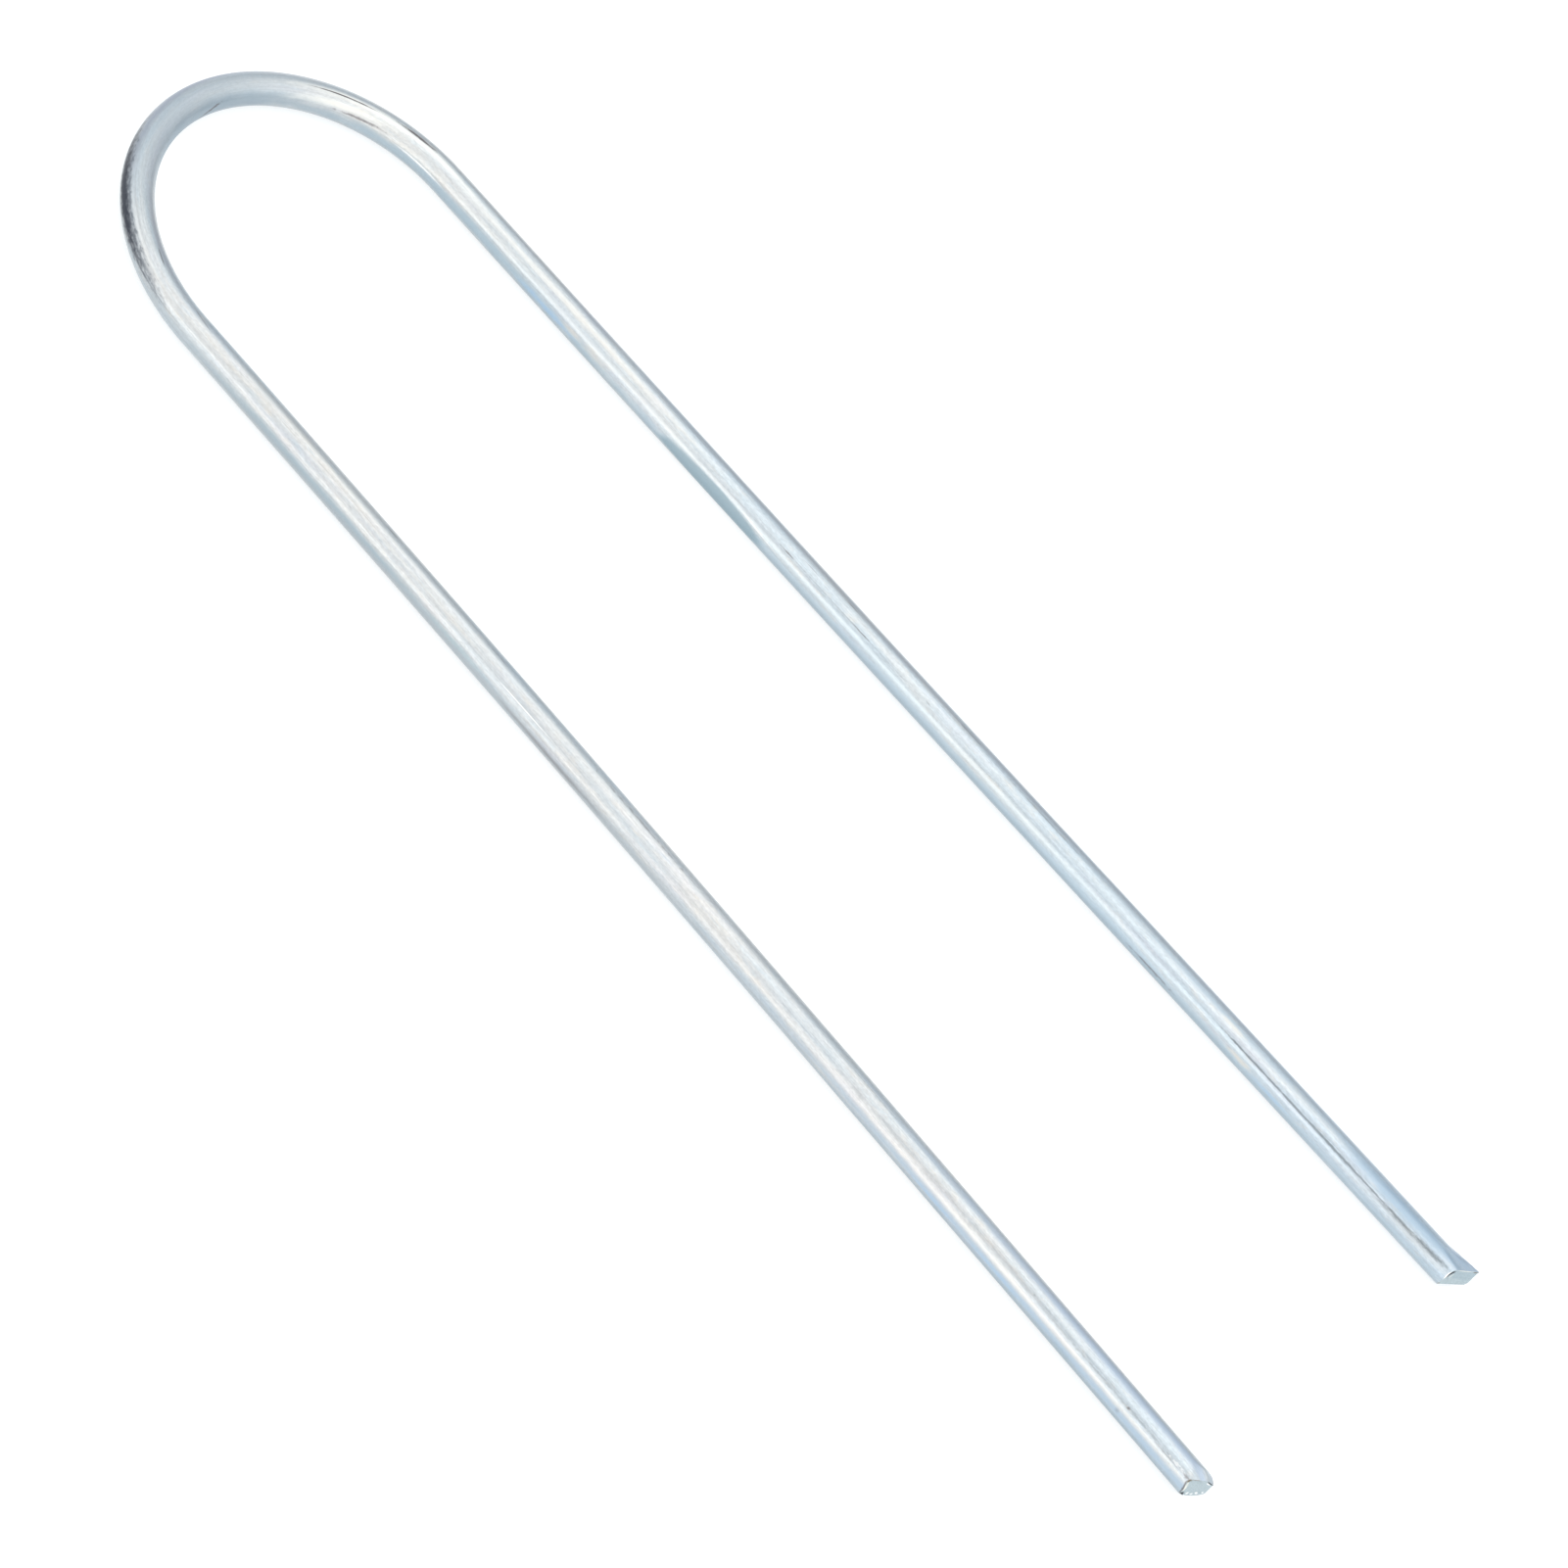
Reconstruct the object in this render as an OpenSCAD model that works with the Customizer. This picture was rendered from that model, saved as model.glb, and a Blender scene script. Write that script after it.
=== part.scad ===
// Ground staple bent from one length of round wire, lying flat on its side.
// Millimetres. X runs across the two legs, Y along them with the tips at the -Y end, Z is up.
// The origin is under the middle of the staple, on the floor.

/* [Wire] */
// Diameter of the wire
wire_d = 4; // [2.6:0.1:6]

/* [Bend] */
// Radius of the bend, to the middle of the wire
bend_r = 23.3; // [12:0.1:40]
// How much thinner the stretched wire is round the bend
bend_thinning = 0.08; // [0.06:0.01:0.2]

/* [Legs] */
// Length of each leg along the wire, from the end of the bend to the middle of the tip
leg_l = 170.4; // [110:0.2:300]
// How far each leg leans outward where it leaves the bend, in degrees
leg_splay = 0.34; // [0.1:0.02:2]
// Radius of the slight outward curve of each leg
bow_r = 6440; // [2500:20:20000]
// Length of the straight end of each leg, which the curve runs into
end_l = 60; // [30:1:90]

/* [Sheared tips] */
// Lean of the sheared face away from a square cut, in degrees
shear_angle = 34; // [15:1:40]
// Depth of the face that the blade pressed in before it cut, at the middle of the tip
press_depth = 0.65; // [0.2:0.05:0.8]
// Slope of the pressed face along the leg, in degrees
press_angle = 20; // [14:1:35]
// How far the sharp edge of the left tip is worn back
left_wear = 0.6; // [0.1:0.05:0.7]
// How far the sharp edge of the right tip is worn back
right_wear = 0.2; // [0.1:0.05:0.7]
// Slope of the worn edges along the leg, in degrees
wear_angle = 12; // [8:1:20]

/* [Die lines] */
// Length of the scored line on the right leg, back from the tip
right_line_l = 37; // [20:1:90]
// Length of the scored line on the left leg, back from the tip
left_line_l = 18; // [10:1:90]
// Depth of the scored lines, which are twice as wide as deep
line_depth = 0.12; // [0.06:0.02:0.2]
// Place of the right leg's line round the wire, in degrees from its inner side toward the top
right_line_turn = 39; // [20:1:60]
// Place of the left leg's line round the wire, in degrees from its outer side toward the top
left_line_turn = 45; // [20:1:60]

/* [Colour] */
// Colour of the zinc plate
plate_color = "#b9c4cc"; // ["#b9c4cc", "#c9ccce", "#8f979c"]

/* [Hidden] */
wire_r = wire_d / 2;
// each thinner stretch of wire reaches this far into the next one, on the way from the bend to the tip
reach = 0.4;
turn = 180 / PI;
bend_start = reach / bend_r * turn;
bow_wire_r = wire_r - bend_thinning / 4;
bend_wire_r = wire_r - bend_thinning / 2;
// turn of the curved stretch, and its end in the frame of the leg
bow_angle = (leg_l - end_l) / bow_r * turn;
bow_x = bow_r * (1 - cos(bow_angle));
bow_y = -bow_r * sin(bow_angle);
end_lean = leg_splay + bow_angle;
bow_steps = 12;
// side of the blocks that cut the tips, and the length of wire they find past each tip
block = 6 * wire_d;
spare_l = 2 * wire_d;
// ends of the staple along Y, measured from the middle of the bend
crown_y = bend_r + bend_wire_r;
tip_y = (bend_r + bow_x) * sin(leg_splay) + bow_y * cos(leg_splay) - end_l * cos(end_lean);
edge_y = min(tip_y - (wire_r - left_wear) * (tan(shear_angle) * cos(end_lean) + sin(end_lean)),
             tip_y - (wire_r - right_wear) * (tan(shear_angle) * cos(end_lean) - sin(end_lean)));
center_y = (crown_y + edge_y) / 2;
$fn = 64;

// Block below a plane through the middle of the tip; lean is 1 for an outer long side and -1 for an inner one
module shear_block(lean) {
    rotate([0, 0, -lean * shear_angle])
        translate([-block / 2, -block, -block / 2])
            cube(block);
}

// Block over the face that the blade pressed in; side is 1 for the top of the wire and -1 for the bottom
module press_block(side) {
    rotate([side * press_angle, 0, 0])
        translate([-block / 2, -block / 2, side > 0 ? (wire_r - press_depth) * cos(press_angle)
                                                    : -block - (wire_r - press_depth) * cos(press_angle)])
            cube(block);
}

// Block past the worn edge on the long side of the tip
module wear_block(lean, wear) {
    translate([lean * (wire_r - wear), -(wire_r - wear) * tan(shear_angle), 0])
        rotate([0, 0, lean * -wear_angle])
            translate([lean > 0 ? 0 : -block, -block / 2, -block / 2])
                cube(block);
}

// Straight scored line, cut as one corner of a square bar laid along the wire's surface
module die_line(line_l, azimuth) {
    bar = line_depth * sqrt(2);
    translate([0, line_l / 2 - wire_r, 0])
        rotate([0, -azimuth, 0])
            translate([wire_r, 0, 0])
                rotate([0, 45, 0])
                    cube([bar, line_l + wire_d, bar], center = true);
}

// Curved upper stretch of the leg on the +X side
module leg_bow() {
    translate([bend_r + bow_r, 0, 0])
        rotate([0, 0, 180])
            rotate_extrude(angle = bow_angle + reach / bow_r * turn, $fn = ceil(bow_steps * 360 / bow_angle))
                translate([bow_r, 0])
                    circle(r = bow_wire_r, $fn = 64);
}

// Straight end of the leg with its sheared tip. lean, side, wear and the line differ between the legs.
module leg_end(lean, side, wear, line_l, azimuth) {
    difference() {
        rotate([90, 0, 0])
            cylinder(h = end_l + spare_l, r = wire_r);
        translate([0, -end_l, 0]) {
            shear_block(lean);
            press_block(side);
            wear_block(lean, wear);
            die_line(line_l, azimuth);
        }
    }
}

// Leg on the +X side
module leg(lean, side, wear, line_l, azimuth) {
    rotate([0, 0, leg_splay]) {
        leg_bow();
        translate([bend_r + bow_x, bow_y, 0])
            rotate([0, 0, bow_angle])
                leg_end(lean, side, wear, line_l, azimuth);
    }
}

// The bend, which reaches into both legs
module bend() {
    rotate([0, 0, leg_splay - bend_start])
        rotate_extrude(angle = 180 - 2 * (leg_splay - bend_start))
            translate([bend_r, 0])
                circle(r = bend_wire_r);
}

// The whole staple. The blank is cut by parallel strokes, so the right tip is longer on its outer side
// and pressed from below, and the left tip is longer on its inner side and pressed from above.
module staple() {
    color(plate_color)
        translate([0, -center_y, wire_r])
            union() {
                bend();
                leg(1, -1, right_wear, right_line_l, 180 - right_line_turn);
                mirror([1, 0, 0])
                    leg(-1, 1, left_wear, left_line_l, left_line_turn);
            }
}

staple();
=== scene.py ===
import math
import bpy
import numpy as np
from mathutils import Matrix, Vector, noise


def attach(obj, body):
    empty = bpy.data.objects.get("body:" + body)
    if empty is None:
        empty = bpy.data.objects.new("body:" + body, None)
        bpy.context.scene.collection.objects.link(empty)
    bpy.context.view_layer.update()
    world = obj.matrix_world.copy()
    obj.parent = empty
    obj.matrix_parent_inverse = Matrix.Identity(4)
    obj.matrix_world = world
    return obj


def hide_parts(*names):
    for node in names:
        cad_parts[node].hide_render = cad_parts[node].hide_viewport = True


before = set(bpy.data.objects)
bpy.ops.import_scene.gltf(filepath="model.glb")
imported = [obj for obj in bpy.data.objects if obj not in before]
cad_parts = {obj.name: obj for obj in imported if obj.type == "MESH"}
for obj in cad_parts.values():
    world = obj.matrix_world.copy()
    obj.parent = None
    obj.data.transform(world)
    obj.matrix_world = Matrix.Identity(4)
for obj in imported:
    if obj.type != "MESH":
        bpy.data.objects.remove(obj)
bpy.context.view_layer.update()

mm = 0.001
fullTurn = 2 * math.pi
print("frame loaded")


def deselectAll():
    if bpy.context.object and bpy.context.object.mode != "OBJECT":
        bpy.ops.object.mode_set(mode="OBJECT")
    bpy.ops.object.select_all(action="DESELECT")


def readPoints(ob):
    points = np.empty(len(ob.data.vertices) * 3)
    ob.data.vertices.foreach_get("co", points)
    return points.reshape(-1, 3)


def writePoints(ob, points):
    ob.data.vertices.foreach_set("co", points.ravel())
    ob.data.update()


def pickPoints(ob, picked):
    # leaves the object in edit mode with only these vertices selected
    deselectAll()
    ob.select_set(True)
    bpy.context.view_layer.objects.active = ob
    bpy.ops.object.mode_set(mode="EDIT")
    bpy.ops.mesh.select_mode(type="VERT")
    bpy.ops.mesh.select_all(action="DESELECT")
    bpy.ops.object.mode_set(mode="OBJECT")
    ob.data.vertices.foreach_set("select", picked)
    bpy.ops.object.mode_set(mode="EDIT")


def ease(value, low, high):
    t = np.clip((value - low) / (high - low), 0, 1)
    return t * t * (3 - 2 * t)


def turnBetween(angle, middle):
    # the smaller turn between two directions, in radians
    return np.abs((angle - middle + math.pi) % fullTurn - math.pi)


# camera at the photograph's angle
camera = {
    "place": (-0.832343, -0.155707, 0.815313),
    "turn": (38.0060, -28.2931, -48.6092),  # degrees
    "lens": 240.352,
    "sensor": 36,
    "near": 0.05,
    "far": 50,
}

cameraData = bpy.data.cameras.new("camera")
cameraData.lens = camera["lens"]
cameraData.sensor_width = camera["sensor"]
cameraData.clip_start = camera["near"]
cameraData.clip_end = camera["far"]
cameraObject = bpy.data.objects.new("camera", cameraData)
bpy.context.scene.collection.objects.link(cameraObject)
cameraObject.location = camera["place"]
cameraObject.rotation_euler = [math.radians(a) for a in camera["turn"]]
bpy.context.scene.camera = cameraObject
print("camera placed")


# the bent wire, in millimetres and degrees
wire = {
    "radius": 2.0,
    "bowThin": 0.02,  # the stretched wire is this much thinner in the curved part of the legs
    "bendThin": 0.04,
    "bendToBow": (32, 41),  # lengths from the crown where its thickness changes
    "bowToLeg": (140, 152),
    "bend": 23.3,  # to the middle of the wire
    "splay": 0.34,
    "bow": 6440.0,  # radius of the legs' slight outward curve
    "leg": 170.4,
    "straight": 60.0,
    "middleY": 73.0725,  # middle of the bend
    "around": 90,
    "tipStretch": 8.0,  # this much of each end has close rings
    "tipRings": 11,
    "straightRings": 22,
    "bowRings": 45,
    "bendRings": 75,
    "sameRing": 0.02,  # points no further apart than this along the wire are on one ring
    "hardEdge": 38,  # edges that turn more than this are drawn sharp
}

splay = math.radians(wire["splay"])
bowTurn = (wire["leg"] - wire["straight"]) / wire["bow"]
legTurn = splay + bowTurn
bowX = (wire["bend"] + wire["bow"]) * math.cos(splay)
bowY = wire["middleY"] + (wire["bend"] + wire["bow"]) * math.sin(splay)
kneeX = bowX - wire["bow"] * math.cos(legTurn)  # where the straight end starts
kneeY = bowY - wire["bow"] * math.sin(legTurn)
tipX = kneeX + wire["straight"] * math.sin(legTurn)
tipY = kneeY - wire["straight"] * math.cos(legTurn)
bendEnd = wire["bend"] * (math.pi / 2 - splay)  # lengths along the wire from the crown
halfLength = bendEnd + wire["leg"]


def pushRings(length, rings, turn):
    # extrudes the selected ring along a leg
    step = length / rings * mm
    move = (step * math.sin(turn), step * math.cos(turn), 0)
    bpy.ops.mesh.extrude_repeat(steps=rings, offset=move)


def spinRings(rings, turn, x, y):
    # turns the selected ring round a point of the floor, clockwise for a positive turn
    bpy.ops.mesh.spin(steps=rings, angle=turn, center=(x * mm, y * mm, 0), axis=(0, 0, 1))


def drawWire():
    deselectAll()
    bpy.ops.mesh.primitive_circle_add(
        vertices=wire["around"], radius=wire["radius"] * mm, fill_type="NOTHING",
        location=(-tipX * mm, tipY * mm, wire["radius"] * mm),
        rotation=(math.radians(90), 0, -legTurn))
    ob = bpy.context.object
    ob.name = "bentWire"
    ob.data.name = "bentWire"
    bpy.ops.object.mode_set(mode="EDIT")
    bpy.ops.mesh.select_mode(type="VERT")
    bpy.ops.mesh.select_all(action="SELECT")
    pushRings(wire["tipStretch"], wire["tipRings"], legTurn)
    pushRings(wire["straight"] - wire["tipStretch"], wire["straightRings"], legTurn)
    spinRings(wire["bowRings"], -bowTurn, -bowX, bowY)
    spinRings(wire["bendRings"], math.pi - 2 * splay, 0, wire["middleY"])
    spinRings(wire["bowRings"], -bowTurn, bowX, bowY)
    pushRings(wire["straight"] - wire["tipStretch"], wire["straightRings"], math.pi - legTurn)
    pushRings(wire["tipStretch"], wire["tipRings"], math.pi - legTurn)
    bpy.ops.object.mode_set(mode="OBJECT")
    bpy.ops.object.transform_apply(location=True, rotation=True, scale=True)
    return ob


def placeOnWire(points):
    # length from the left tip, distance from the wire's middle outward and upward, all in millimetres
    x, y, z = (points / mm).T
    across = np.abs(x)
    aboveMiddle = y - wire["middleY"]
    bendAngle = np.arctan2(aboveMiddle, across)
    toBowX, toBowY = bowX - across, bowY - y
    bowAngle = np.arctan2(toBowY, toBowX)
    kneeDx, kneeDy = across - kneeX, y - kneeY
    inBend = bendAngle >= splay
    onBow = bowAngle <= legTurn
    fromCrown = np.where(
        inBend, wire["bend"] * (math.pi / 2 - bendAngle),
        np.where(onBow, bendEnd + wire["bow"] * (bowAngle - splay),
                 bendEnd + wire["bow"] * bowTurn + kneeDx * math.sin(legTurn) - kneeDy * math.cos(legTurn)))
    outward = np.where(
        inBend, np.hypot(across, aboveMiddle) - wire["bend"],
        np.where(onBow, wire["bow"] - np.hypot(toBowX, toBowY),
                 kneeDx * math.cos(legTurn) + kneeDy * math.sin(legTurn)))
    length = halfLength + np.where(x < 0, -fromCrown, fromCrown)
    return length, outward, z - wire["radius"]


def pointsFromPlace(length, outward, upward):
    # the other way round
    fromCrown = np.abs(length - halfLength)
    side = np.where(length < halfLength, -1, 1)
    bendAngle = math.pi / 2 - fromCrown / wire["bend"]
    bowAngle = splay + (fromCrown - bendEnd) / wire["bow"]
    past = fromCrown - bendEnd - wire["bow"] * bowTurn
    inBend, onBow = fromCrown <= bendEnd, past <= 0
    x = np.where(inBend, (wire["bend"] + outward) * np.cos(bendAngle),
                 np.where(onBow, bowX - (wire["bow"] - outward) * np.cos(bowAngle),
                          kneeX + past * math.sin(legTurn) + outward * math.cos(legTurn)))
    y = np.where(inBend, wire["middleY"] + (wire["bend"] + outward) * np.sin(bendAngle),
                 np.where(onBow, bowY - (wire["bow"] - outward) * np.sin(bowAngle),
                          kneeY - past * math.cos(legTurn) + outward * math.sin(legTurn)))
    return np.stack([x * side, y, upward + wire["radius"]], 1) * mm


def cutRings(ob, bendToo):
    # halves every length of wire between two rings, in the legs or everywhere
    length = placeOnWire(readPoints(ob))[0]
    ends = np.empty(len(ob.data.edges) * 2, np.int32)
    ob.data.edges.foreach_get("vertices", ends)
    first, second = length[ends.reshape(-1, 2)].T
    inLeg = np.abs((first + second) / 2 - halfLength) > bendEnd
    lengthwise = (np.abs(first - second) > wire["sameRing"]) & (bendToo | inLeg)
    pickPoints(ob, np.zeros(len(length), bool))
    bpy.ops.mesh.select_mode(type="EDGE")
    bpy.ops.object.mode_set(mode="OBJECT")
    ob.data.edges.foreach_set("select", lengthwise)
    bpy.ops.object.mode_set(mode="EDIT")
    bpy.ops.mesh.subdivide(number_cuts=1)
    bpy.ops.object.mode_set(mode="OBJECT")


staple = drawWire()
cutRings(staple, True)
cutRings(staple, False)
print("wire drawn and bent:", len(staple.data.vertices), "points")


# flat caps that become the sheared faces, each with rings of faces round a grid
cap = {
    "rings": (0.06, 0.14, 0.14),  # widths, from the wire's skin inward
    "grid": 22,
    "endRing": 0.01,  # a point this near the end is on its ring
    "flat": 0.005,  # a point this near the end, and this far inside the skin, is on the cap
    "inside": 0.01,
}


def closeTip(ob, side):
    points = readPoints(ob)
    end = np.array([side * tipX, tipY]) * mm
    along = (points[:, :2] - end) @ np.array([side * math.sin(legTurn), -math.cos(legTurn)])
    pickPoints(ob, (np.abs(along) < cap["endRing"] * mm) & (points[:, 0] * side > 0))
    bpy.ops.mesh.edge_face_add()
    bpy.ops.mesh.select_mode(type="FACE")
    for width in cap["rings"]:
        bpy.ops.mesh.inset(thickness=width * mm, depth=0)
    bpy.ops.mesh.delete(type="ONLY_FACE")
    bpy.ops.mesh.select_mode(type="EDGE")
    bpy.ops.mesh.select_all(action="DESELECT")
    bpy.ops.mesh.select_non_manifold(
        extend=False, use_wire=False, use_boundary=True, use_multi_face=False, use_non_contiguous=False,
        use_verts=False)
    bpy.ops.object.mode_set(mode="OBJECT")
    points = readPoints(ob)
    picked = np.zeros(len(points), bool)
    ob.data.vertices.foreach_get("select", picked)
    pickPoints(ob, picked & (points[:, 0] * side > 0))
    bpy.ops.mesh.select_mode(type="EDGE")
    bpy.ops.mesh.fill_grid(span=cap["grid"])
    bpy.ops.object.mode_set(mode="OBJECT")


closeTip(staple, -1)
closeTip(staple, 1)
pickPoints(staple, np.ones(len(staple.data.vertices), bool))
bpy.ops.mesh.normals_make_consistent(inside=False)
bpy.ops.object.mode_set(mode="OBJECT")
print("tips closed:", len(staple.data.vertices), "points")


# Shape of the tips as the shear left them, in millimetres. Angles are in degrees from the +X direction toward the top.
# A cut is a flat side: (facing, distance from the wire's middle, how far back it runs out, 1 for a straight run-out and
# 2 for a curved one).
# A flare is a corner pushed out: (direction, distance from the wire's middle, how far back it runs out).
# A push or a lip is (direction, half its width, distance forward).
leftTip = {
    "side": -1,
    "lean": 34,
    "leanStretch": 9.0,
    "cuts": [(87, 1.27, 2.2, 2.0), (52, 1.32, 1.7, 2.0), (0, 1.47, 1.7, 2.0)],
    "flares": [],
    "pushes": [(188, 52, 0.66)],
    "lips": [(247, 7, 0.16), (20, 7, 0.1), (165, 34, 0.12)],
    "grain": 0.035,
}
rightTip = {
    "side": 1,
    "lean": 34,
    "leanStretch": 9.0,
    "cuts": [(-90, 1.24, 2.6, 1.6), (0, 1.84, 1.6, 1.0), (86, 1.78, 3.6, 1.0)],
    "flares": [(44, 2.52, 3.9)],
    "pushes": [(172, 55, 0.45)],
    "lips": [(150, 34, 0.11), (44, 9, 0.14), (80, 30, 0.05)],
    "grain": 0.045,
}
# what both tips have in common, where a share is one of the wire's radius
shear = {
    "reach": 14,  # a tip is shaped this far back from its end
    "leastFacing": 0.2,  # a cut acts where the cosine of the angle to its facing is more than this
    "pushBack": 3,  # a push and a lip fade out this far back
    "lipBack": 0.4,
    "lipFrom": 0.9,  # a lip stands outside this share, and rises to its full height within the next one
    "lipRise": 0.09,
    "lipHeight": (0.75, 0.5),  # mean and swing
    "lipWaves": 6,
    "tornTo": 0.97,  # the torn grain ends at this share, and fades out within the next one
    "tornFade": 0.1,
    "tornFine": (9, 2.5),  # waves across and upward
    "tornCoarse": (3, 3),
    "coarseShare": 0.5,
}


def sectionRadius(tip, angle, back):
    # distance from the wire's middle to its skin, in each direction
    reach = np.full(angle.shape, float(wire["radius"]))
    for middle, far, length in tip["flares"]:
        away = turnBetween(angle, math.radians(middle))
        corner = wire["radius"] + (far - wire["radius"]) * np.clip(1 - back / length, 0, 1)
        spread = np.arccos(wire["radius"] / corner)
        reach = np.where(away < spread, wire["radius"] / np.cos(spread - away), reach)
    for middle, far, length, roll in tip["cuts"]:
        share = np.clip(back / length, 0, 1)
        depth = far + (wire["radius"] - far) * (1 - (1 - share) ** roll)
        facing = np.cos(angle - math.radians(middle))
        inside = (facing > shear["leastFacing"]) & (share < 1)
        reach = np.where(inside, np.minimum(reach, depth / np.maximum(facing, shear["leastFacing"])), reach)
    return reach


def window(angle, middle, half):
    away = turnBetween(angle, math.radians(middle))
    return 0.5 + 0.5 * np.cos(math.pi * np.clip(away / math.radians(half), 0, 1))


def noiseAt(x, y, z):
    return noise.noise(Vector((x, y, z)))


def tornGrain(across, upward, side):
    # the side only picks another stretch of noise
    fineX, fineY = shear["tornFine"]
    coarseX, coarseY = shear["tornCoarse"]
    fine = noiseAt(across * fineX, upward * fineY, side * 5.0)
    return fine + shear["coarseShare"] * noiseAt(across * coarseX, upward * coarseY, side * 9.0 + 20)


def shapeTip(length, outward, upward, onCap, tip):
    side = tip["side"]
    back = length if side < 0 else 2 * halfLength - length  # distance back from the square end
    near = (np.abs(length - halfLength) > halfLength - shear["reach"])
    near &= (length < halfLength) if side < 0 else (length > halfLength)
    x = outward * side
    angle = np.arctan2(upward, x)
    radius = np.hypot(x, upward)
    share = radius / wire["radius"]
    scale = sectionRadius(tip, angle, np.maximum(back, 0)) / wire["radius"]
    newX, newUp = x * scale, upward * scale
    leanShare = np.clip(1 - back / tip["leanStretch"], 0, 1)
    forward = math.tan(math.radians(tip["lean"])) * newX * leanShare
    for middle, half, far in tip["pushes"]:
        forward += far * window(angle, middle, half) * share ** 2 * np.clip(1 - back / shear["pushBack"], 0, 1)
    mean, swing = shear["lipHeight"]
    onRim = np.clip((share - shear["lipFrom"]) / shear["lipRise"], 0, 1)
    atEnd = np.clip(1 - back / shear["lipBack"], 0, 1)
    for middle, half, far in tip["lips"]:
        # the lip's own height only picks another stretch of noise
        rough = np.array([mean + swing * noiseAt(a * shear["lipWaves"], far * 40, side * 3.0) for a in angle[near]])
        lip = np.zeros(len(length))
        lip[near] = far * window(angle, middle, half)[near] * rough
        forward += lip * onRim * atEnd
    torn = np.zeros(len(length))
    face = near & onCap
    torn[face] = [tip["grain"] * tornGrain(a, b, side) for a, b in zip(newX[face], newUp[face])]
    forward += torn * np.clip((shear["tornTo"] - share) / shear["tornFade"], 0, 1)
    length = np.where(near, length + side * forward, length)
    outward = np.where(near, newX * side, outward)
    upward = np.where(near, newUp, upward)
    return length, outward, upward


# Marks pressed into the wire. at and long are lengths along the wire from the left tip, round is the place round it in
# degrees from its outer side toward the top, wide is half the width in degrees, and deep is the depth.
pressedMarks = [
    {"at": 290.4, "round": 190, "long": 10.5, "wide": 42, "deep": 0.1},  # flat dull dent on the right leg
    {"at": 186.5, "round": 22, "long": 11.0, "wide": 26, "deep": 0.05},  # where the bending tool rubbed
    {"at": 209.2, "round": 158, "long": 0.7, "wide": 12, "deep": 0.02},
    {"at": 230.7, "round": 150, "long": 3.0, "wide": 9, "deep": 0.05},
    {"at": 227.8, "round": 97, "long": 4.6, "wide": 5, "deep": 0.04},
    {"at": 236.8, "round": 89, "long": 3.6, "wide": 6, "deep": 0.05},
    {"at": 302.0, "round": 130, "long": 0.7, "wide": 6, "deep": 0.04},
    {"at": 314.0, "round": 130, "long": 0.7, "wide": 6, "deep": 0.05},
    {"at": 364.6, "round": 187, "long": 4.0, "wide": 8, "deep": 0.07},
    {"at": 88.0, "round": 74, "long": 0.9, "wide": 6, "deep": 0.04},
    {"at": 91.0, "round": 73, "long": 0.8, "wide": 5, "deep": 0.04},
    {"at": 11.9, "round": 6, "long": 0.5, "wide": 14, "deep": 0.03},
]
dentRound = 1.5  # power that rounds a dent's edge
# Lines that the feed tool scored, each along a path of (length, place round the wire). From the end of its path that is
# away from the tip, a line fades in over a length. The tip is 1 for the right one and -1 for the left one.
dieLines = [
    {"path": [(376.0, 140.6), (404.0, 141.0), (414.5, 134.2)], "fade": 30, "deep": 0.12, "tip": 1},
    {"path": [(-1.5, 46), (18.0, 46)], "fade": 7, "deep": 0.06, "tip": -1},
]
# half a line's width in degrees, how far past its path it begins, and the mean, swing and waves of its depth
dieTool = {"halfWidth": 6.5, "before": 1, "mean": 0.8, "swing": 0.5, "waves": 0.9}
leastRadius = 0.05  # points nearer to the wire's middle stay where they are


def thinning(fromCrown):
    bow = wire["bowThin"] * ease(fromCrown, *wire["bowToLeg"])
    return wire["bendThin"] - (wire["bendThin"] - wire["bowThin"]) * ease(fromCrown, *wire["bendToBow"]) - bow


def pressWire(length, outward, upward, onCap):
    angle = np.arctan2(upward, outward)
    radius = np.hypot(outward, upward)
    sink = thinning(np.abs(length - halfLength)) * radius / wire["radius"]
    for mark in pressedMarks:
        away = turnBetween(angle, math.radians(mark["round"]))
        spread = ((length - mark["at"]) / mark["long"]) ** 2 + (away / math.radians(mark["wide"])) ** 2
        sink += np.where(onCap, 0, mark["deep"] * np.clip(1 - spread, 0, 1) ** dentRound)
    for line in dieLines:
        lengths, rounds = zip(*line["path"])
        away = turnBetween(angle, np.radians(np.interp(length, lengths, rounds)))
        across = np.clip(1 - away / math.radians(dieTool["halfWidth"]), 0, 1)
        if line["tip"] > 0:
            along = ease(length, lengths[0] - dieTool["before"], lengths[0] + line["fade"])
        else:
            along = 1 - ease(length, lengths[-1] - line["fade"], lengths[-1] + dieTool["before"])
        hit = (across > 0) & (along > 0) & ~onCap
        uneven = np.zeros(len(length))
        # the line's place only picks another stretch of noise
        uneven[hit] = [
            dieTool["mean"] + dieTool["swing"] * noiseAt(a * dieTool["waves"], rounds[0], 0) for a in length[hit]]
        sink += line["deep"] * across * along * uneven
    factor = np.where(radius > leastRadius, 1 - sink / np.maximum(radius, leastRadius), 1)
    return length, outward * factor, upward * factor


length, outward, upward = placeOnWire(readPoints(staple))
flatPlace = np.stack([length, outward, upward], 1)
endGap = np.abs(np.minimum(length, 2 * halfLength - length))
onCap = (endGap < cap["flat"]) & (np.hypot(outward, upward) < wire["radius"] - cap["inside"])
length, outward, upward = pressWire(length, outward, upward, onCap)
for tip in (leftTip, rightTip):
    length, outward, upward = shapeTip(length, outward, upward, onCap, tip)
upward = np.maximum(upward, -wire["radius"])  # nothing goes under the floor
writePoints(staple, pointsFromPlace(length, outward, upward))
print("marks pressed, tips sheared")

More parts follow.
